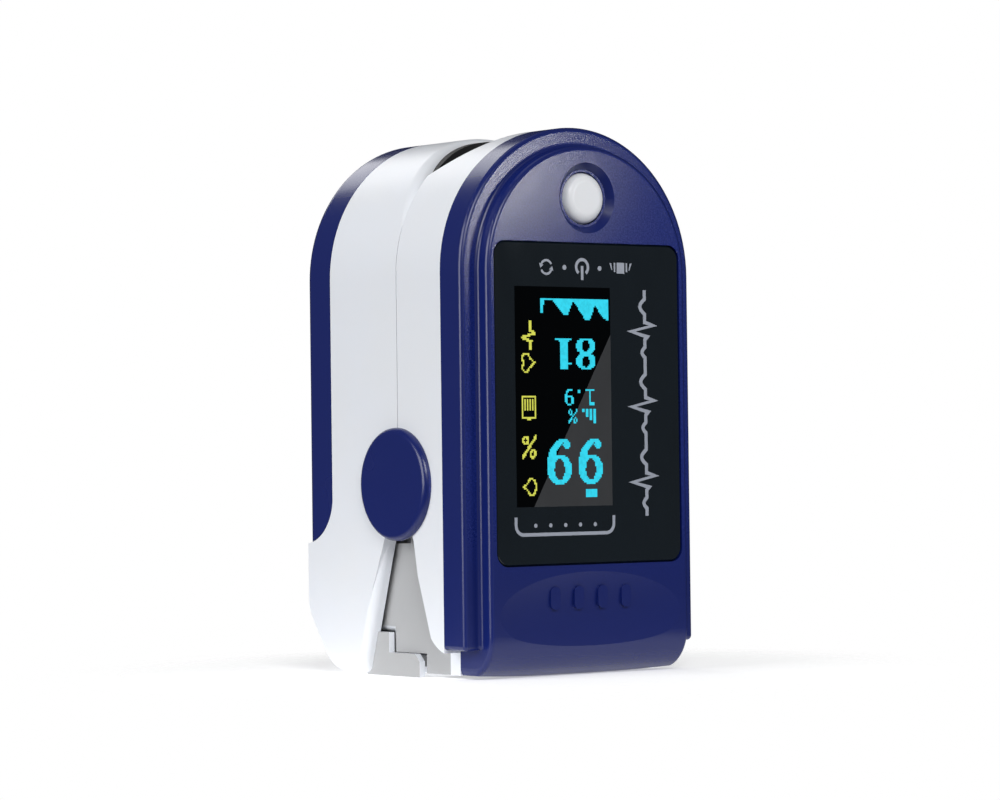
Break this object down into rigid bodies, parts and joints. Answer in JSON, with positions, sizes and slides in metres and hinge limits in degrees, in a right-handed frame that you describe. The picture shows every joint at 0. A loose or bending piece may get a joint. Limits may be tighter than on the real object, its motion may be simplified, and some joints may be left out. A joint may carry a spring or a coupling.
{
  "type": "fingertip pulse oximeter",
  "caption": "Hinged spring clip that closes on a fingertip, with a display, a push button, silicone pads and a sliding battery door.",
  "frame": {"origin": "centre of the bounding box's bottom, on the surface that the push end stands on", "axes": "+X across the hinge pin to the right seen from the display, -Y out of the display, +Z from the push end to the finger mouth"},
  "size_m": [0.0326, 0.03, 0.058],
  "materials": {
    "blue_abs": "fine spark-eroded texture, satin",
    "white_abs": "smooth semi-gloss",
    "lens_acrylic": "high-gloss black-backed acrylic with light grey printing",
    "black_foam": "matte adhesive foam",
    "display_glass": "gloss glass",
    "polyimide": "satin amber film",
    "circuit_board": "satin solder mask",
    "chip_epoxy": "matte moulded epoxy",
    "switch_metal": "stamped sheet",
    "button_white": "satin",
    "emitter_clear": "clear moulded epoxy",
    "silicone": "matte silicone",
    "steel": "bright drawn",
    "nickel": "nickel plated",
    "cell_sleeve": "plain printed sleeve"
  },
  "bodies": {
    "rear_half": {"rear_housing": "white_abs", "rear_finger_pad": "silicone", "photodiode": "chip_epoxy", "aaa_cell_left": "cell_sleeve", "aaa_cell_right": "cell_sleeve", "cell_springs": "nickel", "cell_contact": "nickel", "hinge_pin": "steel", "pivot_cap_left": "blue_abs", "pivot_cap_right": "blue_abs", "torsion_spring_left": "steel", "torsion_spring_right": "steel"},
    "front_half": {"front_cover": "blue_abs", "front_housing": "white_abs", "display_lens": "lens_acrylic", "lens_gasket": "black_foam", "oled_panel": "display_glass", "oled_flex": "polyimide", "main_pcb": "circuit_board", "pcb_chips": "chip_epoxy", "tact_switch": "switch_metal", "led_emitter": "emitter_clear", "front_finger_pad": "silicone", "front_screws": "steel", "sensor_flex": "polyimide"},
    "button": {"power_button": "button_white", "switch_plunger": "chip_epoxy"},
    "door": {"battery_door": "blue_abs"}
  },
  "joints": [
    {"name": "clip_hinge", "type": "hinge", "parent": "rear_half", "child": "front_half", "pos_m": [0, -0.0017, 0.0204], "axis": [1, 0, 0], "range_deg": [0, 15], "stiffness_Nm_per_rad": 0.25, "springref_deg": -22.92, "deforming": ["torsion_spring_left", "torsion_spring_right", "sensor_flex"]},
    {"name": "power_button_press", "type": "slide", "parent": "front_half", "child": "button", "axis": [0, 1, 0], "range_m": [0, 0.00035], "stiffness_N_per_m": 1500, "springref_m": -0.0002},
    {"name": "battery_door_slide", "type": "slide", "parent": "rear_half", "child": "door", "axis": [0, 0, 1], "range_m": [0, 0.05]}
  ]
}
